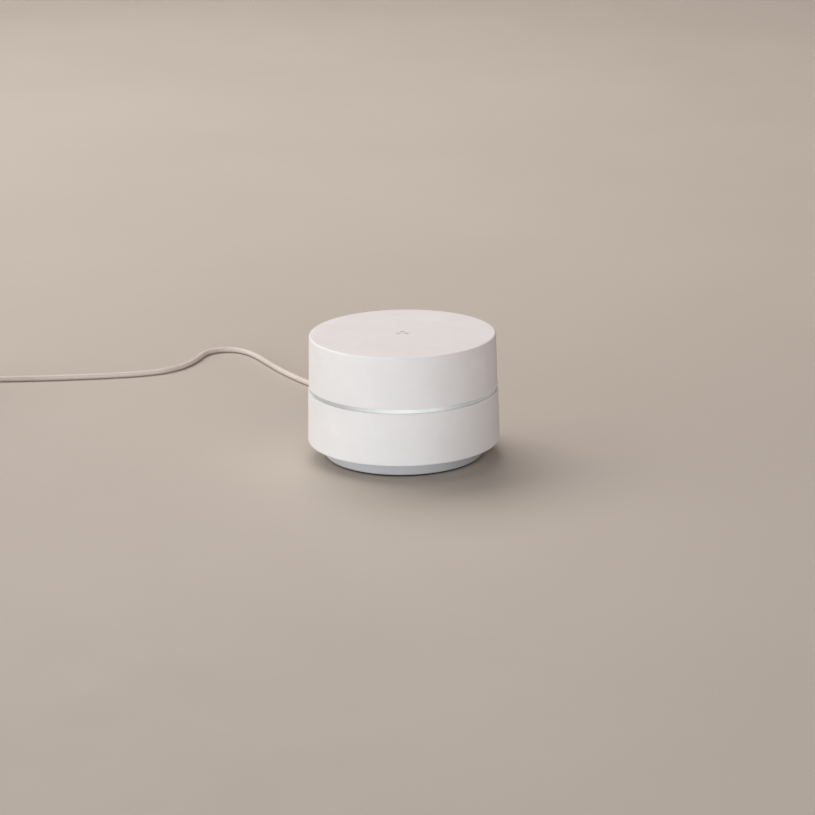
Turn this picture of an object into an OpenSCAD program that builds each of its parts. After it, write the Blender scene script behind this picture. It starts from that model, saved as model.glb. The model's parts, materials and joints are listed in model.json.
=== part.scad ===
// Mesh wifi node: a round two-part white housing with a light slit, on a grey base with a port bay,
// and its USB power lead wound up beside it. Millimetres, +Z up, front is -Y, cables leave at +Y.
// The origin is the centre of the footprint, on the surface that the node stands on.

/* [Housing] */
// Largest diameter of the housing, at the foot of the lower shell
body_d = 106.1; // [105.5:0.1:107]
// Overall height
body_h = 68.75; // [67.5:0.25:72]
// Outside diameter of the upper shell at its top
top_d = 102.7; // [102.3:0.1:103.1]
// Wall thickness of both shells
wall = 2.2; // [2:0.1:2.4]
// Height of the slit's lower lip
slit_z = 37.9; // [37.7:0.1:38.2]
// Height of the light slit
slit_h = 2.3; // [2:0.1:2.5]
// Radius round the upper edge
top_edge_r = 1.1; // [0.8:0.1:1.6]
// Radius round the lower edge
bottom_edge_r = 1.2; // [0.8:0.1:1.6]

/* [Base] */
// Height of the lower shell's underside
base_top = 8.5; // [8.3:0.1:8.7]
// Diameter of the grey base where it meets the lower shell
base_d = 88.8; // [88.4:0.1:89.4]
// Height that the rubber foot lifts the base
foot_h = 1; // [0.8:0.1:1.2]
// Half the width of the port bay
bay_half_w = 27.5; // [27.2:0.1:28]

/* [Ports] */
// Distance of each ethernet jack from the middle
jack_x = 18.3; // [17.8:0.1:18.4]
// Height of the power socket's axis
usb_z = 6.2; // [6.1:0.1:6.3]
// Travel of the reset button
reset_travel = 0.8; // [0.4:0.1:0.8]

/* [Power lead] */
// Diameter of the power cord
cord_d = 3.3; // [3.2:0.1:3.5]
// Radius of the coil at the middle of its turns
coil_r = 19.5; // [19:0.5:20]
// Width of the wall adapter
adapter_w = 44; // [42:1:46]
// Thickness of the wall adapter
adapter_t = 27; // [25:1:30]

/* [Hidden] */
$fn = 96;
gap = 0.2;               // assembly clearance between pieces
eps = 0.01;              // overlap where one piece's shapes join
cut = 1;                 // how far a cutting shape runs past the face it cuts

// Shell profile
body_r = body_d / 2;
lip_low_r = body_r - 0.7;    // lower shell at the slit
lip_up_r = body_r - 1.0;     // upper shell at the slit
top_r = top_d / 2;
slit_top = slit_z + slit_h;
floor_t = 2.2;               // floor of the lower shell
floor_in_r = 38;             // inner edge of that floor
roof_t = 2.25;               // top plate of the upper shell
mark_reach = 3;              // from the middle of the mark to its dots
mark_dot_r = 1.05;

// Base
base_r = base_d / 2;
base_foot_r = base_r - 0.5;
base_wall = 2.2;
base_floor_t = 3;
base_floor_top = foot_h + base_floor_t;
foot_groove = 0.8;
foot_in_r = 35.5;
foot_out_r = 43;
bay_front_y = 11;            // inner face of the bezel
bay_back_r = 46;             // outside of the bay's curved rear wall
bay_wall = 1.5;
bay_roof = 16.4;

// Circuit board and what is fixed to it
board_z = 17;
board_t = 1.6;
board_top = board_z + board_t;
board_r = 47.5;
post_r = 45.5;               // circle of the chassis screws
post_angles = [35, 145, 235, 305];
base_screw_r = 38.3;         // circle of the base screws
base_screw_angles = [15, 165, 225, 315];
screw_r = 1.1;
screw_head_r = 2.3;
screw_head_t = 1.3;
sink_z = 21.8;
sink_t = 3;
sink_r = 40;
sink_top = sink_z + sink_t;
fin_h = 10.2;
fin_pitch = 4;
fin_t = 1.2;
fin_r = 34;                  // circle that the fins stay inside

// Light ring and antennas
led_h = 2.2;
light_board_t = 1.2;
light_board_top = slit_z + (slit_h - led_h) / 2;
light_board_z = light_board_top - light_board_t;
light_board_r = 46.2;
led_count = 12;
frame_post_r = 38;
frame_post_angles = [0, 90, 180, 270];
frame_ring_t = 2;
frame_ring_top = light_board_top + frame_ring_t;
antenna_angles = [45, 135, 225, 315];
antenna_r = 42;              // outer face of the antenna holders
antenna_w = 24;
antenna_top = 62;
coax_x = 44.4;               // radius at which the coaxial leads rise
coax_r = 0.65;
coax_bend = 1.6;
feed_z = 46;
arm_angles = [for (k = [0:5]) 15 + 60 * k];
arm_in_r = 46.6;
arm_out_r = 48;
guide_under = 1.1;           // how far the light guide reaches below the slit
ledge_t = 1.6;
ledge_top = slit_z - guide_under - gap;
ledge_low = ledge_top - ledge_t;

// Ethernet jacks: outside and cavity
jack_w = 15.4;
jack_front = 12.3;
jack_back = -7.5;
jack_low = 4.1;
jack_sheet = 0.35;
socket_w = 11.9;
socket_low = 7.2;
socket_high = 15.4;
socket_depth = 13.5;
latch_w = 6.4;
latch_low = 4.9;
contact_count = 8;
contact_pitch = 1.02;

// Power socket and plug
usb_front = 12.2;
plug_tip_len = 7;
plug_back = 12.9;            // front face of the plug's grip
grip_len = 15.6;
relief_len = 8.5;
relief_end = plug_back + grip_len + relief_len;

// Reset button
reset_y = -22;
reset_cap_r = 3.2;
reset_flange_r = 4.1;
reset_well_gap = 0.3;        // clearance of the button in its well
reset_cap_low = 1.5;
reset_flange_low = 2.5;
reset_flange_t = 0.8;
reset_stem_r = 1.5;
plunger_r = 1.75;
plunger_low = 12;
plunger_top = 14.6;
switch_low = 13.5;

// Cord: its route from the plug to the coil, then the coil and the tail to the adapter
cord_r = cord_d / 2;
cord_sides = 8;
tie_t = 0.8;
tie_w = 9;
turn_step = cord_d + 0.05;
turns_across = 4;
layers = 3;
climb_bulge = 0.7;           // how far a turn bows out where it climbs to the next layer
outer_turn_r = coil_r + turn_step * (turns_across - 1) / 2;
coil_half_w = outer_turn_r - coil_r + cord_r + climb_bulge;
coil_out_r = coil_r + coil_half_w;
coil_in_r = coil_r - coil_half_w;
coil_h = turn_step * (layers - 1) + cord_d;
coil_x = -285;
coil_y = 130.5;
arrive_y = coil_y + outer_turn_r;
cord_route = [
    [0, relief_end, usb_z], [0, 41, 6.2], [0, 46, 5.7], [0, 51, 4.7], [-0.5, 57, 3.3], [-2, 64, 2.2],
    [-5, 72, cord_r], [-11, 82, cord_r], [-19, 93, cord_r], [-29, 104, cord_r], [-39, 115, cord_r],
    [-49, 126, cord_r], [-58, 137, cord_r], [-66, 149, cord_r], [-73, 161, cord_r], [-80, 174.5, cord_r],
    [-86, 187, cord_r], [-91, 197, cord_r], [-97, 206, cord_r], [-104, 212, cord_r],
    [-112, 214, cord_r], [-120, 211, cord_r], [-125, 204, cord_r], [-128, 194, cord_r],
    [-132, 184, cord_r], [-138, 175, cord_r], [-147, 167.5, cord_r], [-158, 163, cord_r],
    [-172, 160, cord_r], [-188, 158, cord_r], [-204, 156.5, cord_r], [-221, 155.5, cord_r],
    [-238, 155, cord_r], [-255, 155, cord_r], [-271, arrive_y, 2.1], [-283, arrive_y, cord_r + tie_t]
];
adapter_x = -300;
adapter_back_y = 90;
adapter_l = 46;
adapter_edge = 7;
adapter_relief_len = 12;
adapter_cord_z = adapter_t / 2;
tail_route = [
    [-293, 143, 11], [-299, 138, 12.2], [-303, 131.5, 12.7], [-305, 124.5, 12.9], [-304.5, 117.5, 13.2],
    [-302.3, 110.8, 13.5], [-300.6, 106.8, 13.5], [adapter_x, 104, adapter_cord_z],
    [adapter_x, adapter_back_y + adapter_relief_len, adapter_cord_z]
];

// ---- shared shapes ----

// Children at radius r and angle a round the Z axis, facing outward along their own +X
module at_polar(r, a) {
    rotate([0, 0, a]) translate([r, 0, 0]) children();
}

// A box given by its lowest and highest corners
module block(low, high) {
    translate(low) cube(high - low);
}

// The point where a straight line from p touches a circle, to the left (side 1) or right (-1) of p's direction
function touch_point(centre, r, p, side) =
    let (
        v = p - centre,
        a = atan2(v[1], v[0]) + side * acos(r / norm(v))
    )
    centre + r * [cos(a), sin(a)];

// A flat rectangle with round corners, centred
module round_rect(w, h, r) {
    square([w - 2 * r, h], center = true);
    square([w, h - 2 * r], center = true);
    for (x = [-1, 1], y = [-1, 1]) translate([x * (w / 2 - r), y * (h / 2 - r)]) circle(r);
}

// A flat slot shape with round ends, centred, lying along X
module stadium(w, h) {
    square([w - h, h], center = true);
    for (x = [-1, 1]) translate([x * (w - h) / 2, 0]) circle(h / 2);
}

// Extrudes a shape drawn in X and Z from y0 to y1
module along_y(y0, y1) {
    translate([0, y1, 0]) rotate([90, 0, 0]) linear_extrude(y1 - y0) children();
}

// A pan-head screw: its head from z up, its shank down to z_end
module screw_down(z, z_end) {
    translate([0, 0, z]) cylinder(h = screw_head_t, r = screw_head_r);
    translate([0, 0, z_end]) cylinder(h = z - z_end + eps, r = screw_r);
    if (z > z_end + 4) translate([0, 0, z_end - 0.6]) cylinder(h = 0.6 + eps, r1 = 0.5, r2 = screw_r);
}

// A cross-shaped driver recess for the top of a screw head
module cross_recess(z) {
    for (a = [0, 90]) rotate([0, 0, a]) translate([-1.3, -0.3, z]) cube([2.6, 0.6, 0.7]);
}

// ---- tube along a route ----

function unit(v) = v / norm(v);
// A point on the smooth curve through a route's points, t from 0 to the last index
function on_route(p, t) =
    let (
        last = len(p) - 1,
        i = min(floor(t), last - 1),
        u = t - i,
        a = i > 0 ? p[i - 1] : 2 * p[0] - p[1],
        b = p[i],
        c = p[i + 1],
        d = i < last - 1 ? p[i + 2] : 2 * p[last] - p[last - 1]
    )
    0.5 * (2 * b + (c - a) * u + (2 * a - 5 * b + 4 * c - d) * u * u + (3 * b - a - 3 * c + d) * u * u * u);

// A closed tube of radius r along a route, with two rings for each of its points
module tube(route, r, sides) {
    steps = 2 * (len(route) - 1);
    line = [for (i = [0:steps]) on_route(route, i / 2)];
    ways = [for (i = [0:steps]) unit(line[min(i + 1, steps)] - line[max(i - 1, 0)])];
    rings = [
        for (i = [0:steps])
            let (side = unit(cross(ways[i], [0, 0, 1])), up = cross(side, ways[i]))
            for (k = [0:sides - 1])
                let (a = 360 * (k + 0.5) / sides)
                line[i] + r / cos(180 / sides) * (side * cos(a) + up * sin(a))
    ];
    walls = [
        for (i = [0:steps - 1], k = [0:sides - 1])
            let (a = i * sides + k, b = i * sides + (k + 1) % sides)
            [a, b, b + sides, a + sides]
    ];
    ends = [
        [for (k = [sides - 1:-1:0]) k],
        [for (k = [0:sides - 1]) steps * sides + k]
    ];
    polyhedron(points = rings, faces = concat(walls, ends), convexity = 10);
}

// ---- housing ----

// Round cap with a flat top, drafted wall, and six snap arms that reach down inside the light ring
module upper_shell() {
    low_in = lip_up_r - wall;
    high_in = top_r - wall;
    roof = body_h - roof_t;
    edge = [top_r - top_edge_r, body_h - top_edge_r];
    lip = [lip_up_r, slit_top];
    color("white") difference() {
        union() {
            rotate_extrude() {
                polygon([
                    [0, roof], [high_in, roof], [low_in, slit_top], lip,
                    touch_point(edge, top_edge_r, lip, 1), edge, [edge[0], body_h], [0, body_h]
                ]);
                translate(edge) circle(top_edge_r);
            }
            for (a = arm_angles) rotate([0, 0, a]) snap_arm();
        }
        top_mark_shape(body_h - 0.2, 0.2 + cut);
    }
}

// One springy arm with a barb at its foot and a root on the shell's wall
module snap_arm() {
    barb_top = ledge_low - gap;
    foot = barb_top - 1.8;
    bend = slit_top + 3.2;
    root_r = lip_up_r - wall + 0.3;
    along_y(-4, 4) polygon([
        [arm_in_r, foot], [arm_out_r + 0.2, foot], [arm_out_r + 1.3, barb_top], [arm_out_r, barb_top],
        [arm_out_r, bend], [root_r, bend + 2], [root_r, bend + 8], [arm_in_r, bend + 2]
    ]);
}

// Three linked dots, a plain sign for a mesh of nodes
module top_mark_shape(z, h) {
    link_half = mark_reach * 0.85;
    for (k = [0:2]) {
        at_polar(mark_reach, 90 + 120 * k) translate([0, 0, z]) cylinder(h = h, r = mark_dot_r);
        rotate([0, 0, 120 * k + 30])
            block([mark_reach / 2 - 0.25, -link_half, z], [mark_reach / 2 + 0.25, link_half, z + h]);
    }
}

module top_mark() {
    color("silver") top_mark_shape(body_h - 0.2, 0.17);
}

// Round tub with a drafted wall, a floor that is open over the base, screw posts and snap ledges
module lower_shell() {
    edge = [body_r - bottom_edge_r, base_top + bottom_edge_r];
    lip = [lip_low_r, slit_z];
    floor_top = base_top + floor_t;
    color("white") difference() {
        union() {
            rotate_extrude() {
                polygon([
                    [floor_in_r, base_top], [edge[0], base_top], edge,
                    touch_point(edge, bottom_edge_r, lip, -1), lip, [lip_low_r - wall, slit_z],
                    [body_r - wall, floor_top], [floor_in_r, floor_top]
                ]);
                translate(edge) circle(bottom_edge_r);
            }
            for (a = post_angles) at_polar(post_r, a)
                translate([0, 0, floor_top - 0.5]) cylinder(h = board_z - floor_top + 0.5, r = 3.2);
            for (a = base_screw_angles) at_polar(base_screw_r, a)
                translate([0, 0, base_floor_top]) cylinder(h = floor_top + 0.6 - base_floor_top, r = 3.4);
            for (a = arm_angles) rotate([0, 0, a])
                block([arm_out_r + 0.6, -4.5, ledge_low], [lip_low_r - wall + 0.3, 4.5, ledge_top]);
        }
        for (a = post_angles) at_polar(post_r, a)
            translate([0, 0, 11.4]) cylinder(h = board_z, r = screw_r + 0.05);
        for (a = base_screw_angles) at_polar(base_screw_r, a)
            translate([0, 0, base_floor_top - cut]) cylinder(h = 6.6, r = screw_r + 0.05);
        intersection() {
            block([-bay_half_w - gap, 0, base_top - cut], [bay_half_w + gap, 60, floor_top + cut]);
            translate([0, 0, base_top - cut]) cylinder(h = floor_t + 2 * cut, r = bay_back_r + gap);
        }
    }
}

// Clear ring that shows in the slit and spreads the light of the diodes behind it
module light_guide() {
    tongue_in = arm_out_r + 0.2;
    tongue_out = lip_up_r - wall - gap;
    color("gainsboro") rotate_extrude() polygon([
        [tongue_in, slit_z - guide_under], [tongue_out, slit_z - guide_under], [tongue_out, slit_z],
        [lip_up_r - 0.95, slit_z], [lip_up_r - 0.95, slit_top], [tongue_out, slit_top],
        [tongue_out, slit_top + 1.6], [tongue_in, slit_top + 1.6]
    ]);
}

// ---- base ----

module bay_opening(z0, z1) {
    block([-bay_half_w, bay_front_y, z0], [bay_half_w, 60, z1]);
}

// Grey dish under the housing, with counterbored screw holes, a groove for the foot and the reset well
module base_housing() {
    color("lightslategray") difference() {
        union() {
            rotate_extrude() polygon([
                [0, foot_h], [base_foot_r - 0.5, foot_h], [base_foot_r, foot_h + 0.5],
                [base_r, base_top], [base_r - base_wall, base_top],
                [base_r - base_wall - 0.3, base_floor_top], [0, base_floor_top]
            ]);
            translate([0, reset_y, base_floor_top - eps])
                cylinder(h = 2.5, r = reset_flange_r + 2);
        }
        rotate_extrude() translate([foot_in_r - 0.1, foot_h - cut])
            square([foot_out_r - foot_in_r + 0.2, foot_groove + cut]);
        bay_opening(foot_h - cut, base_top + cut);
        for (a = base_screw_angles) at_polar(base_screw_r, a) {
            translate([0, 0, foot_h - cut]) cylinder(h = cut + 2, r = screw_head_r + gap);
            translate([0, 0, foot_h]) cylinder(h = base_floor_t + cut, r = screw_r + 0.4);
        }
        translate([0, reset_y, foot_h - cut]) cylinder(h = 5, r = reset_cap_r + reset_well_gap);
        translate([0, reset_y, reset_flange_low - reset_well_gap])
            cylinder(h = base_top, r = reset_flange_r + reset_well_gap);
    }
}

// Rubber foot: a flat ring, open where the port bay crosses it
module foot_ring() {
    color("dimgray") difference() {
        rotate_extrude() polygon([
            [foot_in_r, 0.3], [foot_in_r + 0.3, 0], [foot_out_r - 0.3, 0], [foot_out_r, 0.3],
            [foot_out_r, foot_h + foot_groove], [foot_in_r, foot_h + foot_groove]
        ]);
        bay_opening(-cut, base_top);
    }
}

// Liner of the bay: bezel with the three socket openings, roof, side walls and curved rear wall
module port_bay() {
    inner_w = bay_half_w - bay_wall;
    bezel_back = bay_front_y + bay_wall;
    color("slategray") difference() {
        intersection() {
            block([-bay_half_w, bay_front_y, foot_h], [bay_half_w, 60, bay_roof]);
            cylinder(h = 40, r = bay_back_r);
        }
        intersection() {
            block([-inner_w, bezel_back, -cut], [inner_w, 60, bay_roof - bay_wall]);
            cylinder(h = 40, r = bay_back_r - bay_wall);
        }
        difference() {
            block([-60, bay_front_y - cut, -cut], [60, 60, base_top + gap]);
            cylinder(h = 40, r = base_foot_r - base_wall - 0.6);
        }
        block([-inner_w, 30, -cut], [inner_w, 60, base_top + gap]);
        for (x = [-jack_x, jack_x])
            block([x - jack_w / 2 - 0.15, 0, jack_low - 0.15],
                  [x + jack_w / 2 + 0.15, bezel_back, bay_roof + cut]);
        along_y(0, 20) translate([0, usb_z]) stadium(9.5, 3.7);
    }
}

module base_screws() {
    head_low = foot_h + foot_groove + 0.05;
    color("silver") for (a = base_screw_angles) at_polar(base_screw_r, a) difference() {
        translate([0, 0, 3]) mirror([0, 0, 1]) union() {
            cylinder(h = 3 - head_low, r = screw_head_r);
            translate([0, 0, -6]) cylinder(h = 6 + eps, r = screw_r);
        }
        translate([0, 0, head_low]) mirror([0, 0, 1]) cross_recess(-0.6);
    }
}

// ---- electronics ----

// Round board with holes for the chassis screws
module main_board() {
    color("darkgreen") difference() {
        translate([0, 0, board_z]) cylinder(h = board_t, r = board_r);
        for (a = post_angles) at_polar(post_r, a)
            translate([0, 0, board_z - cut]) cylinder(h = board_t + 2 * cut, r = 1.4);
    }
}

module chassis_screws() {
    color("silver") for (a = post_angles) at_polar(post_r, a) difference() {
        screw_down(sink_top, 12.2);
        cross_recess(sink_top + screw_head_t - 0.6);
    }
}

// A chip of the given size on the top of the board
module chip(x, y, w, l, h) {
    block([x - w / 2, y - l / 2, board_top], [x + w / 2, y + l / 2, board_top + h]);
}

module processor() {
    color("darkslategray") union() {
        chip(0, -4, 19, 19, 0.6);
        chip(0, -4, 14, 14, 1.1);
    }
}

module memory_chips() {
    color("darkslategray") for (x = [-7, 7]) chip(x, -15.7, 11, 3.6, 0.9);
}

module flash_chip() {
    color("darkslategray") chip(0, 10.5, 11.5, 8, 0.9);
}

module radio_chips() {
    color("darkslategray") for (x = [-28, 28], y = [-10, 2]) chip(x, y, 9, 9, 0.85);
}

module switch_chip() {
    color("darkslategray") chip(0, 27, 12, 12, 0.9);
}

// A thin sheet-metal can, open to the board
module shield_can(x, y, w, l, h) {
    sheet = 0.25;
    difference() {
        chip(x, y, w, l, h);
        translate([0, 0, -cut]) chip(x, y, w - 2 * sheet, l - 2 * sheet, h + cut - sheet);
        for (k = [-3:3]) translate([x + k * w / 8, y, board_top + h - cut])
            for (s = [-1, 1]) translate([0, s * l / 4, 0]) cylinder(h = 2 * cut, r = 0.7);
    }
}

module cpu_shield() {
    color("lightgray") shield_can(0, -1.5, 31, 34, 2.2);
}

module radio_shields() {
    color("lightgray") for (x = [-28, 28]) shield_can(x, -4, 20, 26, 2.2);
}

// Soft pads that carry heat from the chips to the cans and from the cans to the heat sink
module thermal_pads() {
    can_top = board_top + 2.2;
    color("lightsteelblue") {
        block([-7, -11, board_top + 1.1], [7, 3, can_top - 0.25]);
        block([-14, -15, can_top], [14, 12, sink_z]);
        for (x = [-28, 28]) block([x - 8, -14, can_top], [x + 8, 6, sink_z]);
    }
}

// Cast plate with straight fins, four ears that clamp the board, and posts for the antenna frame
module heat_sink() {
    color("silver") difference() {
        union() {
            translate([0, 0, sink_z]) cylinder(h = sink_t, r = sink_r);
            for (k = [-8:8]) let (x = k * fin_pitch, half = sqrt(fin_r * fin_r - x * x))
                block([x - fin_t / 2, -half, sink_top - eps], [x + fin_t / 2, half, sink_top + fin_h]);
            for (a = post_angles) at_polar(post_r, a) {
                translate([0, 0, board_top]) cylinder(h = sink_top - board_top, r = 3.6);
                block([-8, -3.6, sink_z], [0, 3.6, sink_top]);
            }
            for (a = frame_post_angles) at_polar(frame_post_r, a)
                translate([0, 0, sink_top - eps]) cylinder(h = light_board_z - sink_top + eps, r = 2.9);
        }
        for (a = post_angles) at_polar(post_r, a)
            translate([0, 0, board_top - cut]) cylinder(h = 10, r = 1.4);
        for (a = frame_post_angles) at_polar(frame_post_r, a)
            translate([0, 0, 30.5]) cylinder(h = 10, r = screw_r + 0.05);
    }
}

module inductors() {
    color("gray") for (p = [[-12, -30], [-20, -24], [-30, -15]]) translate([p[0], p[1], board_z - 3.2])
        linear_extrude(3.2) round_rect(7, 7, 1.2);
}

module capacitors() {
    color("lightgray") for (p = [[12, -30], [20, -24], [29, -17], [22, -15]])
        translate([p[0], p[1], board_z - 5.8]) union() {
            cylinder(h = 5.8, r = 3.1);
            translate([-3.3, -3.3, 4.8]) cube([6.6, 6.6, 1]);
        }
}

module ethernet_transformers() {
    color("dimgray") for (x = [-35, 35]) block([x - 4.5, -8, board_z - 5.4], [x + 4.5, 8, board_z]);
}

// ---- light ring ----

module light_board() {
    color("ivory") difference() {
        translate([0, 0, light_board_z]) cylinder(h = light_board_t, r = light_board_r);
        translate([0, 0, light_board_z - cut]) cylinder(h = light_board_t + 2 * cut, r = 35);
        for (a = frame_post_angles) at_polar(frame_post_r, a)
            translate([0, 0, light_board_z - cut]) cylinder(h = light_board_t + 2 * cut, r = 1.4);
        for (a = antenna_angles) rotate([0, 0, a])
            block([43, -1.6, light_board_z - cut], [50, 1.6, light_board_top + cut]);
    }
}

module light_leds() {
    color("lightyellow") for (k = [0:led_count - 1]) rotate([0, 0, 360 / led_count * k])
        block([44.1, -1.75, light_board_top], [46, 1.75, light_board_top + led_h]);
}

// Flat flexible lead from the main board up to the light board
module light_flex() {
    color("orange") rotate([0, 0, 112]) {
        block([42.5, -3, board_top + 1.6], [42.8, 3, light_board_z]);
    }
}

module flex_connector() {
    color("ivory") rotate([0, 0, 112]) difference() {
        block([41.2, -4.2, board_top], [44, 4.2, board_top + 2.4]);
        block([42.4, -3.1, board_top + 1.5], [42.9, 3.1, board_top + 4]);
    }
}

// ---- antennas ----

// Ring with four upright plates that hold the antennas clear of the heat sink
module antenna_frame() {
    color("whitesmoke") difference() {
        union() {
            translate([0, 0, light_board_top]) cylinder(h = frame_ring_t, r = 43.2);
            for (a = antenna_angles) rotate([0, 0, a]) {
                block([antenna_r - 1.6, -antenna_w / 2, frame_ring_top - eps],
                      [antenna_r, antenna_w / 2, antenna_top]);
                for (y = [-9, 9]) translate([0, y, 0]) along_y(-0.7, 0.7) polygon([
                    [antenna_r - 1.7, 58], [antenna_r - 1.2, 58],
                    [antenna_r - 1.2, frame_ring_top - 0.4], [35.5, frame_ring_top - 0.4]
                ]);
            }
        }
        translate([0, 0, light_board_top - cut]) cylinder(h = 10, r = 34.5);
        for (a = frame_post_angles) at_polar(frame_post_r, a)
            translate([0, 0, light_board_top - cut]) cylinder(h = 10, r = 1.4);
    }
}

module frame_screws() {
    color("silver") for (a = frame_post_angles) at_polar(frame_post_r, a) difference() {
        screw_down(frame_ring_top, 31.5);
        cross_recess(frame_ring_top + screw_head_t - 0.6);
    }
}

// A stamped sheet on the outer face of a holder, given its slots as [y0, z0, y1, z1]
module stamped_antenna(w, z0, z1, slots) {
    difference() {
        block([antenna_r, -w / 2, z0], [antenna_r + 0.4, w / 2, z1]);
        for (s = slots) block([antenna_r - cut, s[0], s[1]], [antenna_r + cut, s[2], s[3]]);
    }
}

// Long meandered antennas for the lower band
module antennas_2ghz() {
    color("peru") for (a = [antenna_angles[0], antenna_angles[2]]) rotate([0, 0, a])
        stamped_antenna(22, 43, 61, [
            [-8, 46, -6, 62], [-3, 42, -1, 58], [2, 46, 4, 62], [6.5, 42, 8.5, 57]
        ]);
}

// Short forked antennas for the upper band
module antennas_5ghz() {
    color("peru") for (a = [antenna_angles[1], antenna_angles[3]]) rotate([0, 0, a])
        stamped_antenna(18, 43, 57, [[-6, 48, 4, 50.5], [5.5, 42, 7, 51], [-6, 53, 10, 54.2]]);
}

// Small folded antenna that stands at the front edge of the board
module bluetooth_antenna() {
    color("peru") difference() {
        union() {
            block([-7, -44.4, board_top], [7, -44, 27]);
            block([-7, -44.2, 26.6], [7, -41, 27]);
        }
        block([-5, -45, board_top + 1.5], [2, -43.5, 21.8]);
        block([-2, -45, 23], [8, -43.5, 24.2]);
    }
}

module coax_plugs() {
    color("gold") for (a = antenna_angles) at_polar(coax_x, a)
        translate([0, 0, board_top]) difference() {
            union() {
                cylinder(h = 1.2, r = 1.3);
                cylinder(h = 1.8, r = 1);
            }
            translate([0, 0, 1.5]) cylinder(h = 1, r = coax_r);
        }
}

// Thin leads that rise outside the heat sink and turn in to each antenna's feed
module coax_leads() {
    low = board_top + 1.5;
    color("black") for (a = antenna_angles) rotate([0, 0, a]) {
        translate([coax_x, 0, low]) cylinder(h = feed_z - coax_bend - low, r = coax_r);
        translate([coax_x - coax_bend, 0, feed_z - coax_bend]) rotate([90, 0, 0])
            rotate_extrude(angle = 90) translate([coax_bend, 0]) circle(coax_r);
        translate([antenna_r + 0.4, 0, feed_z]) rotate([0, 90, 0])
            cylinder(h = coax_x - coax_bend - antenna_r - 0.4, r = coax_r);
    }
}

// ---- sockets ----

// Sheet-metal jacket of an ethernet jack, open at the mouth
module jack_shield(x) {
    color("silver") difference() {
        block([x - jack_w / 2, jack_back, jack_low], [x + jack_w / 2, jack_front, board_z]);
        block([x - jack_w / 2 + jack_sheet, jack_back + jack_sheet, jack_low + jack_sheet],
              [x + jack_w / 2 - jack_sheet, jack_front + cut, board_z - jack_sheet]);
    }
}

// Plastic insert with the plug cavity and the latch slot under it
module jack_body(x) {
    back = jack_front - socket_depth;
    color("dimgray") difference() {
        block([x - jack_w / 2 + jack_sheet, jack_back + jack_sheet, jack_low + jack_sheet],
              [x + jack_w / 2 - jack_sheet, jack_front - 0.1, board_z - jack_sheet]);
        block([x - socket_w / 2, back, socket_low], [x + socket_w / 2, 20, socket_high]);
        block([x - latch_w / 2, back + 1.5, latch_low], [x + latch_w / 2, 20, socket_low + cut]);
        for (k = [0:contact_count - 1]) let (cx = x + (k - 3.5) * contact_pitch)
            block([cx - 0.3, back - 3, 14.6], [cx + 0.3, 9, 16.1]);
    }
}

// Eight sprung contact wires that slope down into the cavity from its roof
module jack_contacts(x) {
    back = jack_front - socket_depth;
    color("gold") for (k = [0:contact_count - 1])
        translate([x + (k - 3.5) * contact_pitch - 0.2, 0, 0]) rotate([90, 0, 90]) linear_extrude(0.4)
            polygon([
                [back - 2.8, 15.5], [back - 2.8, 15.9], [8.6, 15.9], [8.6, 15.4], [8.2, 15.4],
                [1.4, 13.1], [1.4, 13.6], [6.8, 15.5]
            ]);
}

module wan_jack_shield() { jack_shield(-jack_x); }
module wan_jack_body() { jack_body(-jack_x); }
module wan_jack_contacts() { jack_contacts(-jack_x); }
module lan_jack_shield() { jack_shield(jack_x); }
module lan_jack_body() { jack_body(jack_x); }
module lan_jack_contacts() { jack_contacts(jack_x); }

// Raised housing that carries the power socket below the board
module usb_socket_housing() {
    color("black") difference() {
        block([-5.6, 0, usb_z - 2.1], [5.6, bay_front_y - 0.1, board_z]);
        along_y(2.8, 20) translate([0, usb_z]) stadium(9.2, 3.4);
    }
}

module usb_socket_shell() {
    color("silver") difference() {
        along_y(2.9, usb_front) translate([0, usb_z]) stadium(9.1, 3.3);
        along_y(3.3, 20) translate([0, usb_z]) stadium(8.7, 2.8);
    }
}

module usb_socket_tongue() {
    color("black") block([-3.35, 3.3, usb_z - 0.35], [3.35, 9, usb_z + 0.35]);
}

// ---- reset button ----

module reset_switch() {
    color("darkslategray") difference() {
        translate([0, reset_y, switch_low]) linear_extrude(board_z - switch_low) round_rect(6.2, 6.2, 0.6);
        translate([0, reset_y, switch_low - cut])
            cylinder(h = cut + plunger_top + reset_travel + gap - switch_low, r = plunger_r + 0.3);
    }
}

module reset_plunger() {
    color("ivory") translate([0, reset_y, plunger_low]) cylinder(h = plunger_top - plunger_low, r = plunger_r);
}

// Button cap with a flange that keeps it in its well and a stem up to the switch
module reset_button() {
    flange_top = reset_flange_low + reset_flange_t;
    stem_top = plunger_low - 0.05;
    color("slategray") translate([0, reset_y, 0]) rotate_extrude() polygon([
        [0, reset_cap_low], [reset_cap_r - 0.3, reset_cap_low], [reset_cap_r, reset_cap_low + 0.3],
        [reset_cap_r, reset_flange_low], [reset_flange_r, reset_flange_low],
        [reset_flange_r, flange_top], [reset_stem_r, flange_top], [reset_stem_r, stem_top],
        [0, stem_top]
    ]);
}

// ---- power lead ----

// Hollow metal tip of the plug
module power_plug_tip() {
    tip = plug_back - plug_tip_len - 0.3;
    color("silver") difference() {
        along_y(tip, plug_back) translate([0, usb_z]) stadium(8.25, 2.4);
        along_y(tip - cut, plug_back - 1.2) translate([0, usb_z]) stadium(7.3, 1.5);
    }
}

module power_plug_grip() {
    color("white") along_y(plug_back, plug_back + grip_len) translate([0, usb_z]) round_rect(11.4, 5.6, 2.4);
}

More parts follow.
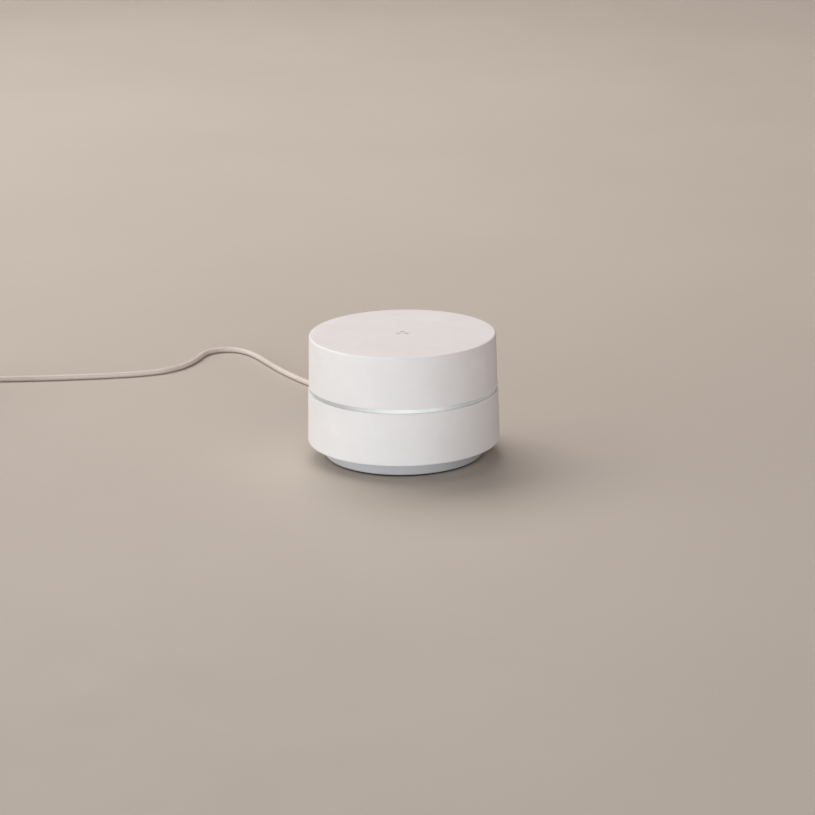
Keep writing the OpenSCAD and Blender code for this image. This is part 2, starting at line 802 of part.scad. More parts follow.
// Tapered sleeve with three grooves
module power_plug_relief() {
    start = plug_back + grip_len;
    color("white") translate([0, start, usb_z]) rotate([-90, 0, 0]) difference() {
        cylinder(h = relief_len, r1 = 2.6, r2 = 1.95);
        for (k = [1:3]) translate([0, 0, k * 2]) difference() {
            cylinder(h = 0.7, r = 4);
            translate([0, 0, -cut]) cylinder(h = 3, r = 1.9);
        }
    }
}

module power_cord() {
    color("white") tube(cord_route, cord_r, cord_sides);
}

// The space of the wound cord: a ring with a rounded section
module cord_coil() {
    color("white") translate([coil_x, coil_y, tie_t]) rotate_extrude()
        translate([(coil_in_r + coil_out_r) / 2, coil_h / 2])
            round_rect(coil_out_r - coil_in_r, coil_h, cord_r);
}

// Flat strap round the bundle, on the side of the coil that faces the adapter
module cord_tie() {
    span = coil_out_r - coil_in_r;
    color("lightgray") translate([coil_x, coil_y, 0]) rotate([0, 0, -50])
        translate([(coil_in_r + coil_out_r) / 2, 0, tie_t + coil_h / 2]) rotate([90, 0, 0])
            translate([0, 0, -tie_w / 2]) linear_extrude(tie_w) difference() {
                round_rect(span + 2 * tie_t + 0.8, coil_h + 2 * tie_t, cord_r + 0.4);
                round_rect(span + 0.8, coil_h, cord_r);
            }
}

module cord_tail() {
    color("white") tube(tail_route, cord_r, cord_sides);
}

// Tapered sleeve where the cord enters the adapter
module adapter_relief() {
    color("white") translate([adapter_x, adapter_back_y, adapter_cord_z]) rotate([-90, 0, 0]) difference() {
        cylinder(h = adapter_relief_len, r1 = 3.4, r2 = 2.1);
        for (k = [1:4]) translate([0, 0, 1 + k * 2]) difference() {
            cylinder(h = 0.8, r = 5);
            translate([0, 0, -cut]) cylinder(h = 3, r = 2);
        }
    }
}

// The adapter's block with round corners, lying on its broad side
module adapter_block(y0, y1) {
    intersection() {
        translate([adapter_x, adapter_back_y - adapter_l / 2, 0])
            linear_extrude(adapter_t) round_rect(adapter_w, adapter_l, adapter_edge);
        along_y(y0, y1) translate([adapter_x, adapter_t / 2]) round_rect(adapter_w, adapter_t, 5);
    }
}

module adapter_case() {
    color("white") adapter_block(adapter_back_y - adapter_l + 8, adapter_back_y);
}

// End piece that carries the blades, with a fine seam round it
module adapter_face() {
    front = adapter_back_y - adapter_l;
    color("whitesmoke") difference() {
        adapter_block(front, front + 8);
        for (x = [-6.35, 6.35]) translate([adapter_x + x, 0, adapter_t / 2])
            block([-0.8, front - cut, -3.25], [0.8, front + 4, 3.25]);
    }
}

module adapter_blades() {
    front = adapter_back_y - adapter_l;
    color("silver") for (x = [-6.35, 6.35]) translate([adapter_x + x, 0, adapter_t / 2]) difference() {
        block([-0.75, front - 16, -3.15], [0.75, front + 3.9, 3.15]);
        translate([-2, front - 12, 0]) rotate([0, 90, 0]) cylinder(h = 4, r = 1.6);
    }
}

// ---- nodes ----

upper_shell();
top_mark();
lower_shell();
light_guide();
base_housing();
foot_ring();
port_bay();
base_screws();
main_board();
chassis_screws();
processor();
memory_chips();
flash_chip();
radio_chips();
switch_chip();
cpu_shield();
radio_shields();
thermal_pads();
heat_sink();
inductors();
capacitors();
ethernet_transformers();
light_board();
light_leds();
light_flex();
flex_connector();
antenna_frame();
frame_screws();
antennas_2ghz();
antennas_5ghz();
bluetooth_antenna();
coax_plugs();
coax_leads();
wan_jack_shield();
wan_jack_body();
wan_jack_contacts();
lan_jack_shield();
lan_jack_body();
lan_jack_contacts();
usb_socket_housing();
usb_socket_shell();
usb_socket_tongue();
reset_switch();
reset_plunger();
reset_button();
power_plug_tip();
power_plug_grip();
power_plug_relief();
power_cord();
cord_coil();
cord_tie();
cord_tail();
adapter_relief();
adapter_case();
adapter_face();
adapter_blades();
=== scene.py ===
"""The looks of a mesh wifi node and its USB power lead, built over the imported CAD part.

Metres, +Z up, front -Y, as in the part. Every outer piece is rebuilt as a fine mesh that stands for its
CAD node. The pieces inside the housing stay as CAD nodes. All materials are procedural.
"""

import json
import math

import bmesh
import bpy
from mathutils import Euler, Matrix, Vector

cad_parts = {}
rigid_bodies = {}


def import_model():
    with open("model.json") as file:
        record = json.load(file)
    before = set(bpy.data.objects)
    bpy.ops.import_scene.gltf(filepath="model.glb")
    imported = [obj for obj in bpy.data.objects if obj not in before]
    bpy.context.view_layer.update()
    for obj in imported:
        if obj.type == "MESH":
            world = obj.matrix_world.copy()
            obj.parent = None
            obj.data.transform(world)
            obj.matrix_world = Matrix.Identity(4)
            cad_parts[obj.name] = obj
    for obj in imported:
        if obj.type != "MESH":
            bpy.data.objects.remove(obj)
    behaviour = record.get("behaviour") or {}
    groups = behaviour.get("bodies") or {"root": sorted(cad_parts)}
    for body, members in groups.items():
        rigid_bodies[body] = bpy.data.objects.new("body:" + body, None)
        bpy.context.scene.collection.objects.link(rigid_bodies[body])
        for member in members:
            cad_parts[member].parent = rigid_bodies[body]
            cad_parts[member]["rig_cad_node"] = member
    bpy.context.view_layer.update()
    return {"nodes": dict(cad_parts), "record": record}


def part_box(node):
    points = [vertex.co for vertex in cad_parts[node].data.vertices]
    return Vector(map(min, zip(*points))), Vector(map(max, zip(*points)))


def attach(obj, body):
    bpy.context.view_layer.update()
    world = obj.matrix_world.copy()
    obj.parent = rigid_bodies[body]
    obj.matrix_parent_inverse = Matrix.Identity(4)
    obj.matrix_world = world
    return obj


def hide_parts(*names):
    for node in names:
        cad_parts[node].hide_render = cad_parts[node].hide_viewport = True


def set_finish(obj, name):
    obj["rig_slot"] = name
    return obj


MM = 0.001

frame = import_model()

# ---- camera ----

CAMERA_AT = (0.0, -1.436, 0.45794)
CAMERA_PITCH = math.radians(-16.743)  # looks down on the object
CAMERA_YAW = math.radians(-0.088)
CAMERA_ROLL = math.radians(-0.884)
LENS_MM = 119.77
SENSOR_MM = 36.0


def make_camera():
    """The camera of the photograph: its place, its aim and its lens."""
    data = bpy.data.cameras.new("camera")
    data.lens = LENS_MM
    data.sensor_width = SENSOR_MM
    data.dof.use_dof = False
    camera = bpy.data.objects.new("camera", data)
    level = Euler((math.radians(90) + CAMERA_PITCH, 0, CAMERA_YAW), "XYZ").to_matrix()
    rolled = level @ Matrix.Rotation(CAMERA_ROLL, 3, "Z")
    camera.matrix_world = Matrix.Translation(CAMERA_AT) @ rolled.to_4x4()
    bpy.context.scene.collection.objects.link(camera)
    bpy.context.scene.camera = camera


# ---- mesh helpers ----

SEGMENTS = 256  # round a turned piece of the housing
SHARP = 35  # angle between faces, in degrees, above which their edge is sharp


def arc(centre, radius, start, end, steps):
    """Points of an arc, as (across, up) pairs, with angles in degrees."""
    angles = [math.radians(start + (end - start) * k / steps) for k in range(steps + 1)]
    return [(centre[0] + radius * math.cos(a), centre[1] + radius * math.sin(a)) for a in angles]


def circle(centre, radius, sides):
    """Evenly spaced points round a circle, as (across, up) pairs."""
    return arc(centre, radius, 0, 360 - 360 / sides, sides - 1)


def new_piece(name, verts, faces, sharp=SHARP):
    """A mesh object with smooth faces, and sharp edges where faces meet at more than that many degrees."""
    mesh = bpy.data.meshes.new(name)
    mesh.from_pydata(verts, [], faces)
    mesh.validate()
    outward = bmesh.new()
    outward.from_mesh(mesh)
    bmesh.ops.recalc_face_normals(outward, faces=outward.faces)
    outward.to_mesh(mesh)
    outward.free()
    mesh.shade_smooth()
    mesh.set_sharp_from_angle(angle=math.radians(sharp))
    piece = bpy.data.objects.new(name, mesh)
    bpy.context.scene.collection.objects.link(piece)
    return piece


def lathe(name, outline):
    """A closed outline of (radius, height) pairs, turned round the Z axis. No pair lies on the axis."""
    rows = len(outline)
    verts = []
    for k in range(SEGMENTS):
        a = 2 * math.pi * k / SEGMENTS
        verts += [(r * math.cos(a), r * math.sin(a), z) for r, z in outline]
    faces = []
    for k in range(SEGMENTS):
        here, there = k * rows, (k + 1) % SEGMENTS * rows
        for i in range(rows):
            j = (i + 1) % rows
            faces.append((here + i, there + i, there + j, here + j))
    return new_piece(name, verts, faces)


def disc_lathe(name, outline, segments=SEGMENTS, sharp=SHARP):
    """An outline whose first and last pairs are on the axis, turned into one closed solid."""
    inner = outline[1:-1]
    rows = len(inner)
    verts = [(0, 0, outline[0][1]), (0, 0, outline[-1][1])]
    for k in range(segments):
        a = 2 * math.pi * k / segments
        verts += [(r * math.cos(a), r * math.sin(a), z) for r, z in inner]
    faces = []
    for k in range(segments):
        here, there = 2 + k * rows, 2 + (k + 1) % segments * rows
        faces.append((0, there, here))
        faces += [(here + i, there + i, there + i + 1, here + i + 1) for i in range(rows - 1)]
        faces.append((here + rows - 1, there + rows - 1, 1))
    return new_piece(name, verts, faces, sharp)


def loft(name, rings, sharp=SHARP, closed_ring=False):
    """A skin over rings of equally many points, capped at both ends unless the rings close up."""
    count = len(rings[0])
    verts = [p for ring in rings for p in ring]
    faces = []
    last = len(rings) if closed_ring else len(rings) - 1
    for i in range(last):
        here, there = i * count, (i + 1) % len(rings) * count
        for k in range(count):
            n = (k + 1) % count
            faces.append((here + k, here + n, there + n, there + k))
    if not closed_ring:
        faces.append(tuple(reversed(range(count))))
        faces.append(tuple(range((len(rings) - 1) * count, len(rings) * count)))
    return new_piece(name, verts, faces, sharp)


def round_rect(half_w, half_h, radius, steps=8):
    """The outline of a rectangle with round corners, as (across, up) pairs about its middle."""
    most = 0.999 * min(half_w, half_h)  # short of a half, so that no two corners share a point
    radius = min(radius, most)
    points = []
    for sx, sy, start in ((1, 1, 0), (-1, 1, 90), (-1, -1, 180), (1, -1, 270)):
        centre = (sx * (half_w - radius), sy * (half_h - radius))
        points += arc(centre, radius, start, start + 90, steps)
    return points


def block(name, low, high):
    """A closed box, used to cut other pieces."""
    corners = [(x, y, z) for x in (low[0], high[0]) for y in (low[1], high[1]) for z in (low[2], high[2])]
    faces = [(0, 1, 3, 2), (4, 6, 7, 5), (0, 4, 5, 1), (2, 3, 7, 6), (0, 2, 6, 4), (1, 5, 7, 3)]
    return new_piece(name, corners, faces)


def combine(piece, other, operation):
    """Cuts the other piece away (DIFFERENCE) or joins it on (UNION), and takes it out of the scene."""
    modifier = piece.modifiers.new("combine", "BOOLEAN")
    modifier.operation = operation
    modifier.solver = "EXACT"
    modifier.object = other
    graph = bpy.context.evaluated_depsgraph_get()
    mesh = bpy.data.meshes.new_from_object(piece.evaluated_get(graph))
    piece.modifiers.clear()
    piece.data = mesh
    mesh.set_sharp_from_angle(angle=math.radians(SHARP))
    bpy.data.objects.remove(other)
    return piece


def cut_away(piece, cutter):
    return combine(piece, cutter, "DIFFERENCE")


def join_on(piece, other):
    return combine(piece, other, "UNION")


def prism(name, outline, low, high):
    """A closed outline of (x, y) pairs, raised from one height to another."""
    return loft(name, [[(x, y, z) for x, y in outline] for z in (low, high)])


def place(piece, body, slot, *nodes):
    """Puts a finished piece on its body, names its slot and hides the CAD nodes that it stands for."""
    flats = piece.modifiers.new("even_flats", "WEIGHTED_NORMAL")
    flats.keep_sharp = True
    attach(piece, body)
    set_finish(piece, slot)
    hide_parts(*nodes)
    return piece


# ---- cord ----

CORD_D = 3.3 * MM
CORD_R = CORD_D / 2
TIE_T = 0.8 * MM
COIL_R = 19.5 * MM  # at the middle of the turns
COIL_X = -285 * MM
COIL_Y = 130.5 * MM
TURN_STEP = 3.35 * MM
TURNS_ACROSS = 4
COIL_TURNS = 11
POINTS_PER_TURN = 40
CORD_SIDES = 16
OUTER_TURN_R = COIL_R + TURN_STEP * (TURNS_ACROSS - 1) / 2
INNER_TURN_R = COIL_R - TURN_STEP * (TURNS_ACROSS - 1) / 2
FIRST_TURN_Z = CORD_R + TIE_T

# From here to the end of the routes, millimetres.
TABLE = CORD_R / MM  # the height of a cord that lies on the table
ARRIVE_Y = COIL_Y / MM + OUTER_TURN_R / MM
ADAPTER_CORD_Z = 13.5

# From the plug to the coil: out under the rim, down to the table and round behind the node.
ROUTE_TO_COIL = [
    (0, 37, 6.2), (0, 41, 6.2), (0, 46, 5.7), (0, 51, 4.7), (-0.5, 57, 3.3), (-2, 64, 2.2),
    (-5, 72, TABLE), (-11, 82, TABLE), (-19, 93, TABLE), (-29, 104, TABLE), (-39, 115, TABLE),
    (-49, 126, TABLE), (-58, 137, TABLE), (-66, 149, TABLE), (-73, 161, TABLE), (-80, 174.5, TABLE),
    (-86, 187, TABLE), (-91, 197, TABLE), (-97, 206, TABLE), (-104, 212, TABLE),
    (-112, 214, TABLE), (-120, 211, TABLE), (-125, 204, TABLE), (-128, 194, TABLE),
    (-132, 184, TABLE), (-138, 175, TABLE), (-147, 167.5, TABLE), (-158, 163, TABLE),
    (-172, 160, TABLE), (-188, 158, TABLE), (-204, 156.5, TABLE), (-221, 155.5, TABLE),
    (-238, 155, TABLE), (-255, 155, TABLE), (-271, ARRIVE_Y, 2.1),
]
# From the coil's last turn over the others to the adapter.
ROUTE_TO_ADAPTER = [
    (-293, 143, 11), (-299, 138, 12.2), (-303, 131.5, 12.7), (-305, 124.5, 12.9),
    (-304.5, 117.5, 13.2), (-302.3, 110.8, ADAPTER_CORD_Z), (-300.6, 106.8, ADAPTER_CORD_Z),
    (-300, 104, ADAPTER_CORD_Z), (-300, 102, ADAPTER_CORD_Z),
]


def coil_point(turns):
    """A point of the coil's centreline, that many turns from the start of its lowest, outermost turn.

    Each layer spirals in or out for all but its last turn. In that turn the cord rolls over its neighbour
    on to the next layer.
    """
    layer = int(turns // TURNS_ACROSS)
    along = turns - layer * TURNS_ACROSS
    inward = layer % 2 == 0
    start, end = (OUTER_TURN_R, INNER_TURN_R) if inward else (INNER_TURN_R, OUTER_TURN_R)
    side = -1 if inward else 1
    spiral_turns = TURNS_ACROSS - 1
    z = FIRST_TURN_Z + layer * TURN_STEP
    if along <= spiral_turns:
        r = start + side * TURN_STEP * along
    else:
        climb = along - spiral_turns
        roll = climb * math.pi / 2
        r = end + side * TURN_STEP * (math.cos(roll) - (1 - climb))
        z += TURN_STEP * math.sin(roll)
    angle = math.pi / 2 + 2 * math.pi * turns
    return Vector((COIL_X + r * math.cos(angle), COIL_Y + r * math.sin(angle), z))


def smooth_route(points, steps):
    """Points on the Catmull-Rom curve through the given ones, with that many steps between each pair."""
    ends = [2 * points[0] - points[1], *points, 2 * points[-1] - points[-2]]
    result = []
    for a, b, c, d in zip(ends, ends[1:], ends[2:], ends[3:]):
        for k in range(steps):
            u = k / steps
            straight = (c - a) * u
            square = (2 * a - 5 * b + 4 * c - d) * u**2
            cubic = (3 * b - a - 3 * c + d) * u**3
            result.append(0.5 * (2 * b + straight + square + cubic))
    return result + [points[-1]]


def cord_path():
    """The whole cord's centreline: route, coil and route."""
    to_coil = [Vector(p) * MM for p in ROUTE_TO_COIL]
    turns = [coil_point(k / POINTS_PER_TURN) for k in range(COIL_TURNS * POINTS_PER_TURN + 1)]
    to_adapter = [Vector(p) * MM for p in ROUTE_TO_ADAPTER]
    first = smooth_route([*to_coil, turns[0]], 6)
    last = smooth_route([turns[-1], *to_adapter], 6)
    return [*first, *turns[1:-1], *last]


def make_cord(path):
    """One tube along the path."""
    before = [path[0], *path]
    after = [*path[1:], path[-1] * 2 - path[-2]]
    ways = [(b - a).normalized() for a, b in zip(before, after)]
    rings = []
    for middle, way in zip(path, ways):
        side = way.cross(Vector((0, 0, 1))).normalized()
        up = side.cross(way)
        turns = [2 * math.pi * k / CORD_SIDES for k in range(CORD_SIDES)]
        rings.append([middle + CORD_R * (side * math.cos(a) + up * math.sin(a)) for a in turns])
    return loft("power_cord_run", rings, sharp=60)


make_camera()
cord_line = cord_path()
cord = make_cord(cord_line)

# ---- dimensions, from the frame where it has them ----

shell_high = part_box("upper_shell")[1]
tub_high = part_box("lower_shell")[1]
guide_low, guide_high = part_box("light_guide")
base_low, base_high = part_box("base_housing")
foot_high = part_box("foot_ring")[1]
mark_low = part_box("top_mark")[0]
bay_low, bay_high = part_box("port_bay")

TOP_Z = shell_high.z
TOP_R = shell_high.x - 0.7 * MM
LIP_UP_R = shell_high.x  # upper shell at the slit
BODY_R = tub_high.x
LIP_LOW_R = BODY_R - 0.7 * MM  # lower shell at the slit
SLIT_LOW = tub_high.z
SLIT_HIGH = SLIT_LOW + 2.3 * MM
WALL = 2.2 * MM
TOP_EDGE_R = 1.1 * MM
BOTTOM_EDGE_R = 1.2 * MM
LIP_EDGE_R = 0.25 * MM
CLEARANCE = 0.2 * MM

# What holds the two shells together: arms of the upper one hook under ledges of the lower one.
ARM_IN = 46.6 * MM
ARM_OUT = 48 * MM
ARM_ANGLES = range(15, 360, 60)
LEDGE_TOP = SLIT_LOW - 1.3 * MM
LEDGE_LOW = LEDGE_TOP - 1.6 * MM

# Screw posts of the main board, and bosses of the base screws.
POST_AT = 45.5 * MM
POST_ANGLES = (35, 145, 235, 305)
BASE_SCREW_AT = 38.3 * MM
BASE_SCREW_ANGLES = (15, 165, 225, 315)
SCREW_BORE_R = 1.15 * MM

UNDERSIDE_Z = base_high.z
FLOOR_IN_R = 38 * MM  # the lower shell's floor is open inside this
BASE_R = base_high.x
BASE_LOW = base_low.z
BASE_FLOOR_TOP = BASE_LOW + 3 * MM
FOOT_IN_R = 35.5 * MM
FOOT_GROOVE = 0.8 * MM
RESET_Y = -22 * MM
BAY_HALF_W = bay_high.x
BAY_FRONT_Y = bay_low.y
BAY_BACK_R = 46 * MM  # the curved rear wall of the bay

# ---- material helpers ----


# Noise seldom leaves this range, so its middle is what gets stretched over a look's two ends.
NOISE_LOW = 0.3
NOISE_HIGH = 0.7


class Look:
    """A material being built: the shader, and short ways to drive it from noise at the surface's scale."""

    def __init__(self, metallic=0.0, roughness=0.5):
        self.material = bpy.data.materials.new("look")
        self.material.use_nodes = True
        self.nodes = self.material.node_tree.nodes
        self.links = self.material.node_tree.links
        self.shader = self.nodes["Principled BSDF"]
        self.position = self.nodes.new("ShaderNodeTexCoord").outputs["Object"]
        self.set("Metallic", metallic)
        self.set("Roughness", roughness)

    def set(self, socket, value):
        self.shader.inputs[socket].default_value = value

    def noise(self, size, detail, stretch=(1, 1, 1)):
        """Noise whose lumps are about that many metres across, and finer along a stretched axis."""
        mapping = self.nodes.new("ShaderNodeMapping")
        mapping.inputs["Scale"].default_value = stretch
        self.links.new(self.position, mapping.inputs["Vector"])
        noise = self.nodes.new("ShaderNodeTexNoise")
        noise.inputs["Scale"].default_value = 1 / size
        noise.inputs["Detail"].default_value = detail
        self.links.new(mapping.outputs["Vector"], noise.inputs["Vector"])
        return noise.outputs["Fac"]

    def spread(self, value, low, high, start=NOISE_LOW, end=NOISE_HIGH):
        """Maps a value's range, which is a noise's unless it is given, to the range from low to high."""
        mapped = self.nodes.new("ShaderNodeMapRange")
        mapped.inputs["From Min"].default_value = start
        mapped.inputs["From Max"].default_value = end
        mapped.inputs["To Min"].default_value = low
        mapped.inputs["To Max"].default_value = high
        self.links.new(value, mapped.inputs["Value"])
        return mapped.outputs["Result"]

    def tint(self, value, dark, light):
        """Colours the surface between two colours by a noise."""
        ramp = self.nodes.new("ShaderNodeValToRGB")
        ramp.color_ramp.elements[0].position = NOISE_LOW
        ramp.color_ramp.elements[0].color = (*dark, 1)
        ramp.color_ramp.elements[1].position = NOISE_HIGH
        ramp.color_ramp.elements[1].color = (*light, 1)
        self.links.new(value, ramp.inputs["Fac"])
        self.links.new(ramp.outputs["Color"], self.shader.inputs["Base Color"])
        return ramp.outputs["Color"]

    def overlay(self, factor, below, colour):
        """Lays one flat colour over another look of the surface, as far as the factor says."""
        mix = self.nodes.new("ShaderNodeMix")
        mix.data_type = "RGBA"
        mix.inputs["B"].default_value = (*colour, 1)
        self.links.new(factor, mix.inputs["Factor"])
        self.links.new(below, mix.inputs["A"])
        return mix.outputs["Result"]

    def rough(self, value, low, high):
        self.links.new(self.spread(value, low, high), self.shader.inputs["Roughness"])

    def bump(self, height, depth):
        """Raises and sinks the surface by that many metres, on top of what earlier calls did."""
        bump = self.nodes.new("ShaderNodeBump")
        bump.inputs["Distance"].default_value = depth
        self.links.new(height, bump.inputs["Height"])
        before = self.shader.inputs["Normal"].links
        if before:
            self.links.new(before[0].from_socket, bump.inputs["Normal"])
        self.links.new(bump.outputs["Normal"], self.shader.inputs["Normal"])

    def math(self, operation, *values):
        """The result of a sum on sockets or plain numbers."""
        node = self.nodes.new("ShaderNodeMath")
        node.operation = operation
        for socket, value in zip(node.inputs, values):
            if isinstance(value, (int, float)):
                socket.default_value = value
            else:
                self.links.new(value, socket)
        return node.outputs[0]

    def axes(self):
        """The surface point's own X, Y and Z."""
        split = self.nodes.new("ShaderNodeSeparateXYZ")
        self.links.new(self.position, split.inputs[0])
        return split.outputs

    def stripes(self, axis, pitch):
        """A soft wave of that pitch along X, Y or Z (0, 1 or 2), from 0 to 1."""
        turn = self.math("MULTIPLY", self.axes()[axis], 2 * math.pi / pitch)
        return self.math("MULTIPLY_ADD", self.math("SINE", turn), 0.5, 0.5)


def moulded(dark, light, roughness, grain, relief):
    """Moulded plastic: faint clouding, a fine spark-eroded grain and slightly uneven gloss.

    The grain's size and its relief are in millimetres.
    """
    look = Look()
    look.tint(look.noise(18 * MM, 2), dark, light)
    look.rough(look.noise(4 * MM, 4), *roughness)
    look.bump(look.noise(grain * MM, 4), relief * MM)
    look.bump(look.noise(9 * MM, 2), relief * MM * 1.5)
    look.set("Specular IOR Level", 0.5)
    return look


def sheet_metal(dark, light, roughness, along=(1, 14, 14)):
    """Metal with fine lines along one axis, smudges and tiny dents."""
    look = Look(metallic=1.0)
    look.tint(look.noise(6 * MM, 3), dark, light)
    look.rough(look.noise(1.5 * MM, 4, along), *roughness)
    look.bump(look.noise(0.9 * MM, 4, along), 0.01 * MM)
    return look


# ---- materials, one function for each of the record's slots ----


def shell_white():
    look = moulded((0.80, 0.775, 0.765), (0.83, 0.81, 0.80), (0.50, 0.58), 0.3, 0.01)
    look.set("Subsurface Weight", 0.08)
    look.set("Subsurface Radius", (0.004, 0.003, 0.0025))
    look.set("Subsurface Scale", 0.5)
    return look


def mark_grey():
    return moulded((0.46, 0.46, 0.465), (0.52, 0.52, 0.525), (0.3, 0.38), 0.15, 0.002)


FRONT_GLOW = 0.57
# The faint glow is partly the ring's own light and partly painted light, which brightens the slit's shaded
# sides.
FAINT_GLOW_AND_PAINTED_FILL = 0.195
GLOW_SPREAD = math.radians(46)


def light_diffuser():
    """Frosted ring lit from behind: bright at the front, a third as bright at the sides and the rear. The
    faint glow at the sides and the rear is partly painted light, and the ring's dark grey colour is
    painted shade.
    """
    # The dark grey colour is painted shade: it darkens the slit where the lamps light it most.
    look = moulded((0.30, 0.31, 0.306), (0.325, 0.335, 0.33), (0.3, 0.4), 0.3, 0.003)
    x, y, _ = look.axes()
    angle = look.math("ABSOLUTE", look.math("ARCTAN2", x, look.math("MULTIPLY", y, -1)))
    fade = look.nodes.new("ShaderNodeMapRange")
    fade.interpolation_type = "SMOOTHSTEP"
    fade.inputs["From Min"].default_value = GLOW_SPREAD
    fade.inputs["From Max"].default_value = 0
    fade.inputs["To Min"].default_value = FAINT_GLOW_AND_PAINTED_FILL
    fade.inputs["To Max"].default_value = FRONT_GLOW
    look.links.new(angle, fade.inputs["Value"])
    patch = look.spread(look.noise(6 * MM, 1), 0.95, 1.05)
    glow = look.math("MULTIPLY", fade.outputs["Result"], patch)
    look.links.new(glow, look.shader.inputs["Emission Strength"])
    look.set("Emission Color", (0.95, 1.0, 0.99, 1))
    return look


def base_grey():
    return moulded((0.51, 0.505, 0.51), (0.55, 0.545, 0.55), (0.45, 0.55), 0.3, 0.008)


def foot_rubber():
    look = moulded((0.018, 0.018, 0.02), (0.035, 0.034, 0.036), (0.7, 0.85), 0.4, 0.03)
    look.set("Sheen Weight", 0.2)
    return look


def bay_grey():
    return moulded((0.14, 0.14, 0.145), (0.18, 0.18, 0.185), (0.5, 0.6), 0.4, 0.012)


def cord_white():
    # The cord is white; its warm beige tint is painted light, the warm glow bounced on to it from a wooden
    # table.
    look = moulded((0.645, 0.565, 0.51), (0.725, 0.635, 0.58), (0.42, 0.55), 0.5, 0.01)
    look.set("Subsurface Weight", 0.05)
    look.set("Subsurface Scale", 0.3)
    return look


def tie_white():
    """Woven strap: crossed ribs under a soft nap."""
    look = moulded((0.66, 0.65, 0.62), (0.76, 0.75, 0.72), (0.75, 0.9), 0.3, 0.02)
    look.set("Sheen Weight", 0.3)
    weave = look.math("MULTIPLY", look.stripes(0, 0.8 * MM), look.stripes(1, 0.8 * MM))
    look.bump(weave, 0.12 * MM)
    return look


def adapter_white():
    look = moulded((0.78, 0.765, 0.755), (0.82, 0.81, 0.80), (0.42, 0.48), 0.3, 0.002)
    look.set("Coat Weight", 0.1)
    look.set("Coat Roughness", 0.35)
    return look


def blade_nickel():
    return sheet_metal((0.62, 0.60, 0.56), (0.72, 0.70, 0.66), (0.29, 0.38), (1, 1, 10))


def socket_steel():
    return sheet_metal((0.55, 0.55, 0.56), (0.66, 0.66, 0.67), (0.29, 0.42), (1, 8, 1))


def screw_steel():
    return sheet_metal((0.50, 0.50, 0.52), (0.62, 0.62, 0.64), (0.29, 0.46), (6, 6, 1))


def tinned_steel():
    return sheet_metal((0.56, 0.56, 0.55), (0.68, 0.68, 0.67), (0.29, 0.46))


def cast_aluminium():
    look = sheet_metal((0.50, 0.51, 0.52), (0.60, 0.61, 0.62), (0.42, 0.62), (1, 1, 1))
    look.bump(look.noise(0.35 * MM, 5), 0.03 * MM)
    return look


def capacitor_can():
    return sheet_metal((0.60, 0.60, 0.61), (0.70, 0.70, 0.71), (0.29, 0.36), (1, 1, 12))


def antenna_copper():
    return sheet_metal((0.60, 0.30, 0.16), (0.74, 0.42, 0.25), (0.29, 0.44), (1, 1, 8))


def gold_contact():
    return sheet_metal((0.72, 0.50, 0.18), (0.84, 0.64, 0.28), (0.29, 0.34), (1, 1, 1))


def printed_board(mask, track, pad):
    """Solder mask with a raised grid of tracks, and bright pads scattered over it."""
    look = Look(roughness=0.32)
    base = look.tint(look.noise(12 * MM, 2), mask, tuple(c * 1.25 for c in mask))
    lines = look.math("MAXIMUM", look.stripes(0, 1.6 * MM), look.stripes(1, 1.6 * MM))
    grid = look.spread(lines, 0, 1, 0.86, 0.94)
    patches = look.spread(look.noise(9 * MM, 1), 0, 1, 0.45, 0.55)
    tracks = look.math("MULTIPLY", grid, patches)
    dots = look.nodes.new("ShaderNodeTexVoronoi")
    dots.inputs["Scale"].default_value = 1 / (3.2 * MM)
    look.links.new(look.position, dots.inputs["Vector"])
    pads = look.spread(dots.outputs["Distance"], 1, 0, 0.08, 0.11)
    colour = look.overlay(pads, look.overlay(tracks, base, track), pad)
    look.links.new(colour, look.shader.inputs["Base Color"])
    look.rough(look.noise(3 * MM, 3), 0.29, 0.4)
    look.bump(tracks, 0.03 * MM)
    return look


def circuit_board():
    return printed_board((0.012, 0.075, 0.03), (0.03, 0.16, 0.06), (0.72, 0.55, 0.25))


def white_board():
    return printed_board((0.74, 0.74, 0.72), (0.66, 0.66, 0.63), (0.72, 0.60, 0.36))


def chip_black():
    return moulded((0.014, 0.014, 0.016), (0.03, 0.03, 0.033), (0.45, 0.6), 0.18, 0.01)


def thermal_pad():
    return moulded((0.26, 0.33, 0.45), (0.33, 0.41, 0.53), (0.7, 0.85), 0.5, 0.05)


def ferrite():
    return moulded((0.035, 0.035, 0.038), (0.065, 0.063, 0.066), (0.5, 0.7), 0.2, 0.03)


def led_lens():
    look = moulded((0.72, 0.70, 0.42), (0.82, 0.80, 0.56), (0.1, 0.2), 0.4, 0.004)
    look.set("Coat Weight", 0.5)
    return look


def flex_film():
    look = moulded((0.42, 0.16, 0.02), (0.52, 0.22, 0.04), (0.29, 0.37), 0.5, 0.01)
    look.bump(look.stripes(2, 1.2 * MM), 0.02 * MM)
    return look


def ivory_nylon():
    return moulded((0.62, 0.57, 0.44), (0.70, 0.65, 0.52), (0.45, 0.55), 0.3, 0.01)


def frame_plastic():
    return moulded((0.56, 0.56, 0.55), (0.63, 0.63, 0.62), (0.5, 0.62), 0.35, 0.015)


def coax_jacket():
    return moulded((0.015, 0.015, 0.016), (0.03, 0.03, 0.031), (0.4, 0.5), 0.3, 0.01)


def jack_black():
    return moulded((0.016, 0.016, 0.018), (0.032, 0.032, 0.035), (0.42, 0.55), 0.3, 0.01)


